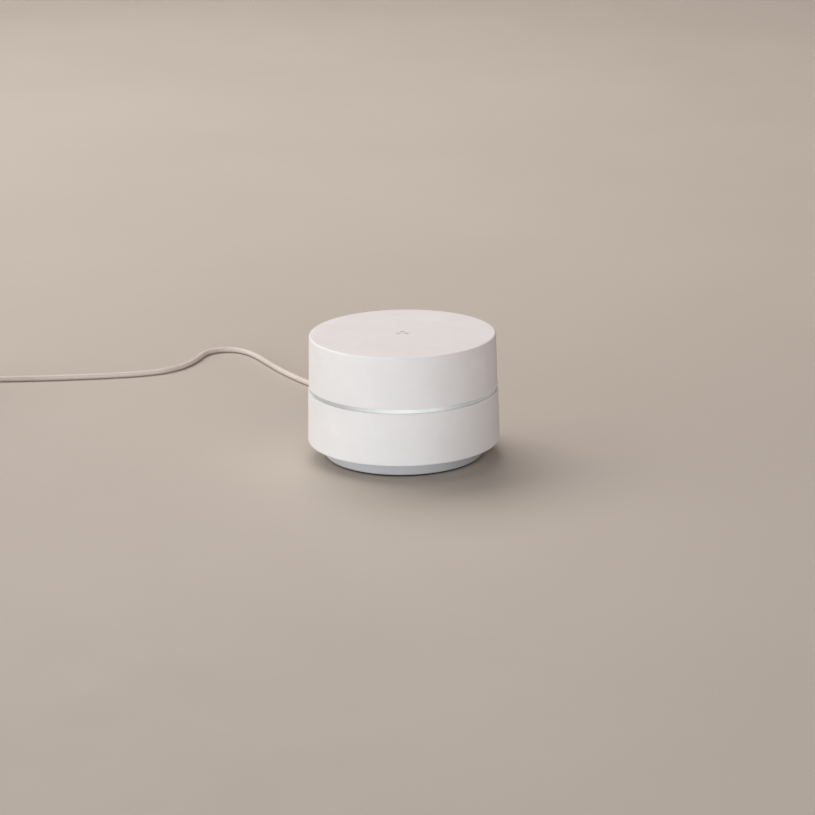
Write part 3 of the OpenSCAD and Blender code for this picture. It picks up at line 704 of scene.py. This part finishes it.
LOOKS = (
    shell_white, mark_grey, light_diffuser, base_grey, foot_rubber, bay_grey, cord_white, tie_white,
    adapter_white, blade_nickel, socket_steel, screw_steel, tinned_steel, cast_aluminium, capacitor_can,
    antenna_copper, gold_contact, circuit_board, white_board, chip_black, thermal_pad, ferrite, led_lens,
    flex_film, ivory_nylon, frame_plastic, coax_jacket, jack_black,
)


# ---- the housing ----


def touch_angle(centre, radius, point, side):
    """The angle, in degrees, at which a line from point touches a circle."""
    dx, dz = point[0] - centre[0], point[1] - centre[1]
    return math.degrees(math.atan2(dz, dx) + side * math.acos(radius / math.hypot(dx, dz)))


def spun(piece, degrees):
    """The same piece, turned round the Z axis."""
    piece.data.transform(Matrix.Rotation(math.radians(degrees), 4, "Z"))
    return piece


def pillar(radius_at, degrees, radius, low, high, sides=40):
    """An upright round bar at that distance and angle from the Z axis."""
    return spun(prism("pillar", circle((radius_at, 0), radius, sides), low, high), degrees)


def make_snap_arm(degrees):
    """A springy arm that hooks under a ledge of the lower shell, with its root on the cap's wall."""
    barb_top = LEDGE_LOW - CLEARANCE
    foot = barb_top - 1.8 * MM
    bend = SLIT_HIGH + 3.2 * MM
    root = LIP_UP_R - WALL + 0.3 * MM
    half_w = 4 * MM
    outline = [
        (ARM_IN, foot), (ARM_OUT + CLEARANCE, foot), (ARM_OUT + 1.3 * MM, barb_top), (ARM_OUT, barb_top),
        (ARM_OUT, bend), (root, bend + 2 * MM), (root, bend + 8 * MM), (ARM_IN, bend + 2 * MM),
    ]
    sides = [[(x, y, z) for x, z in outline] for y in (-half_w, half_w)]
    return spun(loft("snap_arm", sides), degrees)


def make_upper_shell():
    """Cap: flat top, fine round edge, drafted wall with a soft lip at the slit, and snap arms inside."""
    edge = (TOP_R - TOP_EDGE_R, TOP_Z - TOP_EDGE_R)
    lip = (LIP_UP_R - LIP_EDGE_R, SLIT_HIGH + LIP_EDGE_R)
    touch = touch_angle(edge, TOP_EDGE_R, (LIP_UP_R, SLIT_HIGH), 1)
    roof = TOP_Z - 2.25 * MM
    fillet = 1.5 * MM
    corner = (TOP_R - WALL - fillet, roof - fillet)
    top_rings = (47 * MM, 40 * MM, 25 * MM, 10 * MM)  # these keep the faces of the flat top small
    outline = [(0, roof), (corner[0], roof)]
    outline += arc(corner, fillet, 80, 10, 6)
    outline += [(LIP_UP_R - WALL, SLIT_HIGH), (lip[0] - 0.2 * MM, SLIT_HIGH)]
    outline += arc(lip, LIP_EDGE_R, -90, 0, 6)
    outline += arc(edge, TOP_EDGE_R, touch, 90, 14)
    outline += [(r, TOP_Z) for r in top_rings]
    outline += [(0, TOP_Z)]
    cap = disc_lathe("shell_cap", outline)
    for degrees in ARM_ANGLES:
        join_on(cap, make_snap_arm(degrees))
    return cap


def add_posts(tub, floor_top):
    """The main board's screw posts, and the bosses of the base screws, both with their bores."""
    post_r, boss_r, bore_sides = 3.2 * MM, 3.4 * MM, 24
    board_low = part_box("main_board")[0].z
    post_bore = (11.4 * MM, board_low + MM)
    boss_bore = (BASE_FLOOR_TOP - MM, BASE_FLOOR_TOP + 5.6 * MM)
    for degrees in POST_ANGLES:
        join_on(tub, pillar(POST_AT, degrees, post_r, floor_top - 0.5 * MM, board_low))
        cut_away(tub, pillar(POST_AT, degrees, SCREW_BORE_R, *post_bore, bore_sides))
    for degrees in BASE_SCREW_ANGLES:
        join_on(tub, pillar(BASE_SCREW_AT, degrees, boss_r, BASE_FLOOR_TOP, floor_top + 0.6 * MM))
        cut_away(tub, pillar(BASE_SCREW_AT, degrees, SCREW_BORE_R, *boss_bore, bore_sides))


def add_ledges(tub):
    """The ledges that the snap arms hook under."""
    half_w = 4.5 * MM
    low = (ARM_OUT + 0.6 * MM, -half_w, LEDGE_LOW)
    high = (LIP_LOW_R - WALL + 0.3 * MM, half_w, LEDGE_TOP)
    for degrees in ARM_ANGLES:
        join_on(tub, spun(block("ledge", low, high), degrees))


def make_lower_shell():
    """Tub: lip at the slit, drafted wall, round lower edge, and a floor that is open over the port bay."""
    floor_top = UNDERSIDE_Z + 2.2 * MM
    edge = (BODY_R - BOTTOM_EDGE_R, UNDERSIDE_Z + BOTTOM_EDGE_R)
    touch = touch_angle(edge, BOTTOM_EDGE_R, (LIP_LOW_R, SLIT_LOW), -1)
    lip = (LIP_LOW_R - LIP_EDGE_R, SLIT_LOW - LIP_EDGE_R)
    outline = [(FLOOR_IN_R, floor_top), (FLOOR_IN_R, UNDERSIDE_Z)]
    outline += [(r, UNDERSIDE_Z) for r in (BASE_R + CLEARANCE, 48 * MM)]
    outline += arc(edge, BOTTOM_EDGE_R, -90, touch, 14)
    outline += arc(lip, LIP_EDGE_R, 0, 90, 6)
    outline += [(LIP_LOW_R - WALL, SLIT_LOW), (BODY_R - WALL, floor_top + MM)]
    outline += [(BODY_R - WALL - MM, floor_top)]
    tub = lathe("shell_tub", outline)
    add_posts(tub, floor_top)
    add_ledges(tub)
    half_w, back_r = BAY_HALF_W + CLEARANCE, BAY_BACK_R + CLEARANCE
    front_y = 5 * MM
    corner = math.degrees(math.acos(half_w / back_r))
    bay = [(-half_w, front_y), *arc((0, 0), back_r, 180 - corner, corner, 24), (half_w, front_y)]
    return cut_away(tub, prism("bay_cutter", bay, 0, floor_top + 0.8 * MM))


def make_light_ring():
    """Frosted ring set back in the slit, with a flat face and fine round edges."""
    outer, edge_r = guide_high.x, 0.2 * MM
    inner = outer - 2.9 * MM
    tongue_out = LIP_UP_R - WALL - CLEARANCE
    outline = [(inner, guide_low.z), (tongue_out, guide_low.z), (tongue_out, SLIT_LOW)]
    outline += arc((outer - edge_r, SLIT_LOW + edge_r), edge_r, -90, 0, 4)
    outline += arc((outer - edge_r, SLIT_HIGH - edge_r), edge_r, 0, 90, 4)
    outline += [(tongue_out, SLIT_HIGH), (tongue_out, guide_high.z), (inner, guide_high.z)]
    return lathe("light_ring", outline)


def make_top_mark():
    """Three linked dots, inlaid flush with the top."""
    reach, dot_r, half_link = 3 * MM, 1.05 * MM, 0.25 * MM
    half_length = reach * 0.85
    low, high = mark_low.z, TOP_Z + 0.012 * MM
    corners = ((-1, -1), (1, -1), (1, 1), (-1, 1))
    bar = [(reach / 2 + u * half_link, v * half_length) for u, v in corners]
    mark = None
    for k in range(3):
        link = spun(prism("link", bar, low, high), 30 + 120 * k)
        dot = spun(prism("dot", circle((0, reach), dot_r, 48), low, high), 120 * k)
        for shape in (link, dot):
            mark = join_on(mark, shape) if mark else shape
    mark.name = "mark_inlay"
    return mark


# ---- the base ----


def bay_block(name, low_z, high_z):
    """A block that fills the port bay and runs out at the rear."""
    return block(name, (-BAY_HALF_W, BAY_FRONT_Y, low_z), (BAY_HALF_W, 60 * MM, high_z))


def add_side_ribs(base):
    """A rib on each side of the bay, which closes the gap between its liner and the base."""
    width = 1.2 * MM
    for x in (-BAY_HALF_W - width, BAY_HALF_W):
        low = (x, 26 * MM, BASE_FLOOR_TOP - 0.5 * MM)
        high = (x + width, 32.6 * MM, UNDERSIDE_Z - 0.1 * MM)
        join_on(base, block("side_rib", low, high))


def add_reset_well(base):
    """The reset button's well: a boss, with a hole for the cap and a wider one for its flange."""
    boss_r, sides = 6.1 * MM, 64
    boss_low, boss_high = BASE_FLOOR_TOP - 0.5 * MM, BASE_FLOOR_TOP + 2.5 * MM
    join_on(base, pillar(-RESET_Y, -90, boss_r, boss_low, boss_high, sides))
    cap_r, flange_r, step, high = 3.5 * MM, 4.4 * MM, 2.2 * MM, 9 * MM
    well = [(0, -MM), (cap_r, -MM), (cap_r, step), (flange_r, step), (flange_r, high), (0, high)]
    cutter = disc_lathe("reset_well", well, sides)
    cutter.data.transform(Matrix.Translation((0, RESET_Y, 0)))
    return cut_away(base, cutter)


def make_base():
    """Dish under the housing: foot groove, counterbored screw holes, reset well and the port bay's gap."""
    side_r, side_edge = BASE_R - 0.5 * MM, 0.6 * MM
    groove_in, groove_out = FOOT_IN_R - 0.1 * MM, foot_high.x + 0.1 * MM
    groove_top = BASE_LOW + FOOT_GROOVE
    outline = [(0, BASE_LOW), (35 * MM, BASE_LOW), (groove_in, BASE_LOW)]
    outline += [(groove_in, groove_top), (groove_out, groove_top), (groove_out, BASE_LOW)]
    outline += arc((side_r - side_edge, BASE_LOW + side_edge), side_edge, -80, 0, 8)
    outline += [(BASE_R - 0.1 * MM, UNDERSIDE_Z - 0.1 * MM), (BASE_R - 0.2 * MM, UNDERSIDE_Z)]
    outline += [(BASE_R - 2.2 * MM, UNDERSIDE_Z), (BASE_R - 2.5 * MM, BASE_FLOOR_TOP), (0, BASE_FLOOR_TOP)]
    base = disc_lathe("base_dish", outline)
    cut_away(base, bay_block("bay_space", 0, 20 * MM))
    add_side_ribs(base)
    head_hole, shank_hole = (2.5 * MM, 3 * MM), (1.5 * MM, 9 * MM)  # radius and upper end
    for degrees in BASE_SCREW_ANGLES:
        for radius, high in (head_hole, shank_hole):
            cut_away(base, pillar(BASE_SCREW_AT, degrees, radius, 0, high))
    return add_reset_well(base)


def make_foot():
    """Rubber ring with rounded edges and a fine groove round its middle."""
    outer, top, edge_r = foot_high.x, foot_high.z, 0.35 * MM
    groove = [(38.6 * MM, 0), (38.9 * MM, 0.15 * MM), (39.5 * MM, 0.15 * MM), (39.8 * MM, 0)]
    outline = [(FOOT_IN_R, top)]
    outline += arc((FOOT_IN_R + edge_r, edge_r), edge_r, 180, 270, 5)
    outline += groove
    outline += arc((outer - edge_r, edge_r), edge_r, 270, 360, 5)
    outline += [(outer, top)]
    return cut_away(lathe("foot_pad", outline), bay_block("foot_gap", -5 * MM, 20 * MM))


# ---- the power lead ----


def make_grip():
    """Plug grip: a rounded block that is waisted at its middle and rounded at both ends."""
    low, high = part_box("power_plug_grip")
    middle, half = (low + high) / 2, (high - low) / 2
    length = high.y - low.y
    end_length = 1.4 * MM
    steps = 40
    rings = []
    for k in range(steps + 1):
        t = k / steps
        near_end = min(min(t, 1 - t) * length / end_length, 1)
        end_taper = 0.12 if t < 0.5 else 0.3
        waist = 1 - 0.05 * math.sin(math.pi * t) ** 2
        scale = (1 - (1 - near_end) ** 2 * end_taper) * waist
        outline = round_rect(half.x * scale, half.z * scale, half.z * scale * 0.85)
        rings.append([(middle.x + u, low.y + length * t, middle.z + v) for u, v in outline])
    return loft("plug_grip", rings, sharp=50)


def make_sleeve(name, node, radius_near, radius_far, grooves):
    """Tapered strain relief along +Y, with rings of grooves, in the place of a CAD node."""
    low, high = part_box(node)
    length = high.y - low.y
    pitch = length * 0.8 / grooves
    depth = 0.34 * MM
    outline = [(0, 0), (radius_near - 0.3 * MM, 0), (radius_near, 0.3 * MM)]
    for k in range(grooves):
        for share, sunk in ((0.25, 0), (0.33, depth), (0.62, depth), (0.7, 0)):
            along = 0.6 * MM + (k + share) * pitch
            outline.append((radius_near + (radius_far - radius_near) * along / length - sunk, along))
    outline += [(radius_far, length - 0.3 * MM), (radius_far - 0.25 * MM, length), (0, length)]
    sleeve = disc_lathe(name, outline, 48, 50)
    start = Matrix.Translation(((low.x + high.x) / 2, low.y, (low.z + high.z) / 2))
    sleeve.data.transform(start @ Matrix.Rotation(math.radians(-90), 4, "X"))
    return sleeve


def make_plug_relief():
    """The strain relief between the plug's grip and the cord."""
    return make_sleeve("plug_relief", "power_plug_relief", 2.6 * MM, 1.95 * MM, 3)


def make_adapter_sleeve():
    """The strain relief where the cord enters the adapter."""
    return make_sleeve("adapter_sleeve", "adapter_relief", 3.4 * MM, 2.1 * MM, 4)


def make_tie():
    """Strap round the coil's turns: one rounded loop."""
    low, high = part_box("cord_tie")
    bottom, top = low.z + 0.1 * MM, high.z
    climb_bulge, slack = 0.7 * MM, 0.4 * MM
    half_w = TURN_STEP * (TURNS_ACROSS - 1) / 2 + CORD_R + climb_bulge + slack
    half_h = (top - bottom) / 2
    strap_half = 4.5 * MM
    middle = Vector((COIL_X, COIL_Y, (bottom + top) / 2))
    turn = Matrix.Rotation(math.radians(-50), 3, "Z")
    outer = round_rect(half_w + TIE_T, half_h, 2.1 * MM)
    inner = round_rect(half_w, half_h - TIE_T, 1.4 * MM)
    rings = []
    for outline, side in ((outer, -1), (outer, 1), (inner, 1), (inner, -1)):
        rings.append([middle + turn @ Vector((COIL_R + u, side * strap_half, v)) for u, v in outline])
    return loft("coil_strap", rings, sharp=40, closed_ring=True)


def rounded_block(name, low, high, front=True, back=True):
    """A block of the adapter, lofted along Y: round in section, and in plan at the chosen ends."""
    plan_r, section_r, end_r = 7 * MM, 5 * MM, 2 * MM
    middle, half = (low + high) / 2, (high - low) / 2
    length = high.y - low.y
    steps = 14
    rounding = [plan_r * (1 - math.cos(math.pi / 2 * k / steps)) for k in range(steps + 1)]
    places = rounding if front else [0]
    places = places + ([length - along for along in reversed(rounding)] if back else [length])
    rings = []
    for along in places:
        from_front = along if front else plan_r
        from_back = length - along if back else plan_r
        depth = min(from_front, from_back, plan_r)
        inset_x = plan_r - math.sqrt(max(plan_r**2 - (plan_r - depth) ** 2, 0))
        inset_z = end_r - math.sqrt(max(end_r**2 - (end_r - min(depth, end_r)) ** 2, 0))
        outline = round_rect(half.x - inset_x, half.z - inset_z, section_r - inset_z * 0.5)
        rings.append([(middle.x + u, low.y + along, middle.z + v) for u, v in outline])
    return loft(name, rings, sharp=40)


def make_adapter_case():
    """The larger part of the adapter, which the cord enters."""
    low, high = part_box("adapter_case")
    return rounded_block("adapter_shell", low, high, front=False)


def make_adapter_face():
    """The adapter's end piece, with a fine seam behind it and a slot for each blade."""
    low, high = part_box("adapter_face")
    middle = (low + high) / 2
    blade_at, half_t, half_w, depth = 6.35 * MM, 0.8 * MM, 3.25 * MM, 4 * MM
    face = rounded_block("adapter_front", low, high - Vector((0, 0.15 * MM, 0)), back=False)
    for x in (middle.x - blade_at, middle.x + blade_at):
        slot_low = (x - half_t, low.y - MM, middle.z - half_w)
        slot_high = (x + half_t, low.y + depth, middle.z + half_w)
        cut_away(face, block("blade_slot", slot_low, slot_high))
    return face


# ---- everything in place ----

place(make_upper_shell(), "housing", "shell_white", "upper_shell")
place(make_lower_shell(), "housing", "shell_white", "lower_shell")
place(make_light_ring(), "housing", "light_diffuser", "light_guide")
place(make_top_mark(), "housing", "mark_grey", "top_mark")
place(make_base(), "housing", "base_grey", "base_housing")
place(make_foot(), "housing", "foot_rubber", "foot_ring")

on_cord = [
    place(make_grip(), "power_lead", "cord_white", "power_plug_grip"),
    place(make_plug_relief(), "power_lead", "cord_white", "power_plug_relief"),
    place(make_tie(), "power_lead", "tie_white", "cord_tie"),
    place(make_adapter_sleeve(), "power_lead", "cord_white", "adapter_relief"),
    place(make_adapter_case(), "power_lead", "adapter_white", "adapter_case"),
    place(make_adapter_face(), "power_lead", "adapter_white", "adapter_face"),
    frame["nodes"]["power_plug_tip"],
    frame["nodes"]["adapter_blades"],
]
place(cord, "power_lead", "cord_white", "power_cord", "cord_coil", "cord_tail")


def paint_everything():
    """Gives each piece and each CAD node the material of its slot, which has its function's name."""
    materials = {}
    for make_look in LOOKS:
        slot = make_look.__name__
        materials[slot] = make_look().material
        materials[slot].name = slot
    slots = {part["node"]: part["material_slot"] for part in frame["record"]["subparts"]}
    for piece in bpy.data.objects:
        slot = piece.get("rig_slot") or slots.get(piece.get("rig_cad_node"))
        if slot and piece.type in ("MESH", "CURVE"):
            piece.data.materials.clear()
            piece.data.materials.append(materials[slot])


paint_everything()

# ---- floor and light ----

LIT_POINT = Vector((0, 0, 40 * MM))
HORIZON_GLOW = 0.45
SKY_GLOW = 0.14
FADE_HEIGHT = 0.18  # the height at which the sky has its own glow, on a dome of radius 1


def make_floor():
    """A wide pale table top, which ends short of the lights that stand low."""
    radius, bottom = 2.6, -0.02
    floor = disc_lathe("floor", [(0, bottom), (radius, bottom), (radius, 0), (0, 0)], 96)
    look = Look()
    look.material.name = "floor_pale"
    look.tint(look.noise(0.4, 3), (0.50, 0.45, 0.395), (0.53, 0.48, 0.425))
    look.rough(look.noise(0.05, 4), 0.62, 0.72)
    look.bump(look.noise(0.002, 3), 0.00002)
    floor.data.materials.append(look.material)


def make_area_light(name, at, size, power, colour):
    """A flat light of that size and power in watts, turned to face the object."""
    data = bpy.data.lights.new(name, "AREA")
    data.shape = "RECTANGLE"
    data.size, data.size_y = size
    data.energy = power
    data.color = colour
    light = bpy.data.objects.new(name, data)
    light.location = at
    light.rotation_euler = (LIT_POINT - Vector(at)).to_track_quat("-Z", "Y").to_euler()
    bpy.context.scene.collection.objects.link(light)


def make_world():
    """A dim even sky, brighter at and below the horizon, so that the room behind the floor is pale."""
    world = bpy.data.worlds.new("studio")
    world.use_nodes = True
    nodes, links = world.node_tree.nodes, world.node_tree.links
    split = nodes.new("ShaderNodeSeparateXYZ")
    links.new(nodes.new("ShaderNodeTexCoord").outputs["Generated"], split.inputs[0])
    fade = nodes.new("ShaderNodeMapRange")
    fade.interpolation_type = "SMOOTHSTEP"
    fade.inputs["From Max"].default_value = FADE_HEIGHT
    fade.inputs["To Min"].default_value = HORIZON_GLOW
    fade.inputs["To Max"].default_value = SKY_GLOW
    links.new(split.outputs["Z"], fade.inputs["Value"])
    background = nodes["Background"]
    background.inputs["Color"].default_value = (1.0, 0.93, 0.90, 1)
    links.new(fade.outputs["Result"], background.inputs["Strength"])
    bpy.context.scene.world = world


bpy.context.scene.view_settings.view_transform = "Standard"
make_floor()
make_world()
make_area_light("warm_left", (-3.6, 0.72, 1.77), (3.6, 2.9), 46, (1.0, 0.97, 0.88))
make_area_light("low_left", (-2.9, -2.7, 0.5), (2.6, 0.8), 56, (0.875, 0.94, 1.0))
make_area_light("low_front", (0.0, -3.96, 0.52), (3.6, 0.9), 53, (0.84, 0.93, 1.0))
make_area_light("high_right", (1.6, -2.6, 3.0), (3.0, 2.0), 27.5, (1.0, 0.85, 0.81))
make_area_light("soft_back", (-0.7, 1.3, 1.9), (2.2, 1.6), 44, (1.0, 0.94, 0.92))
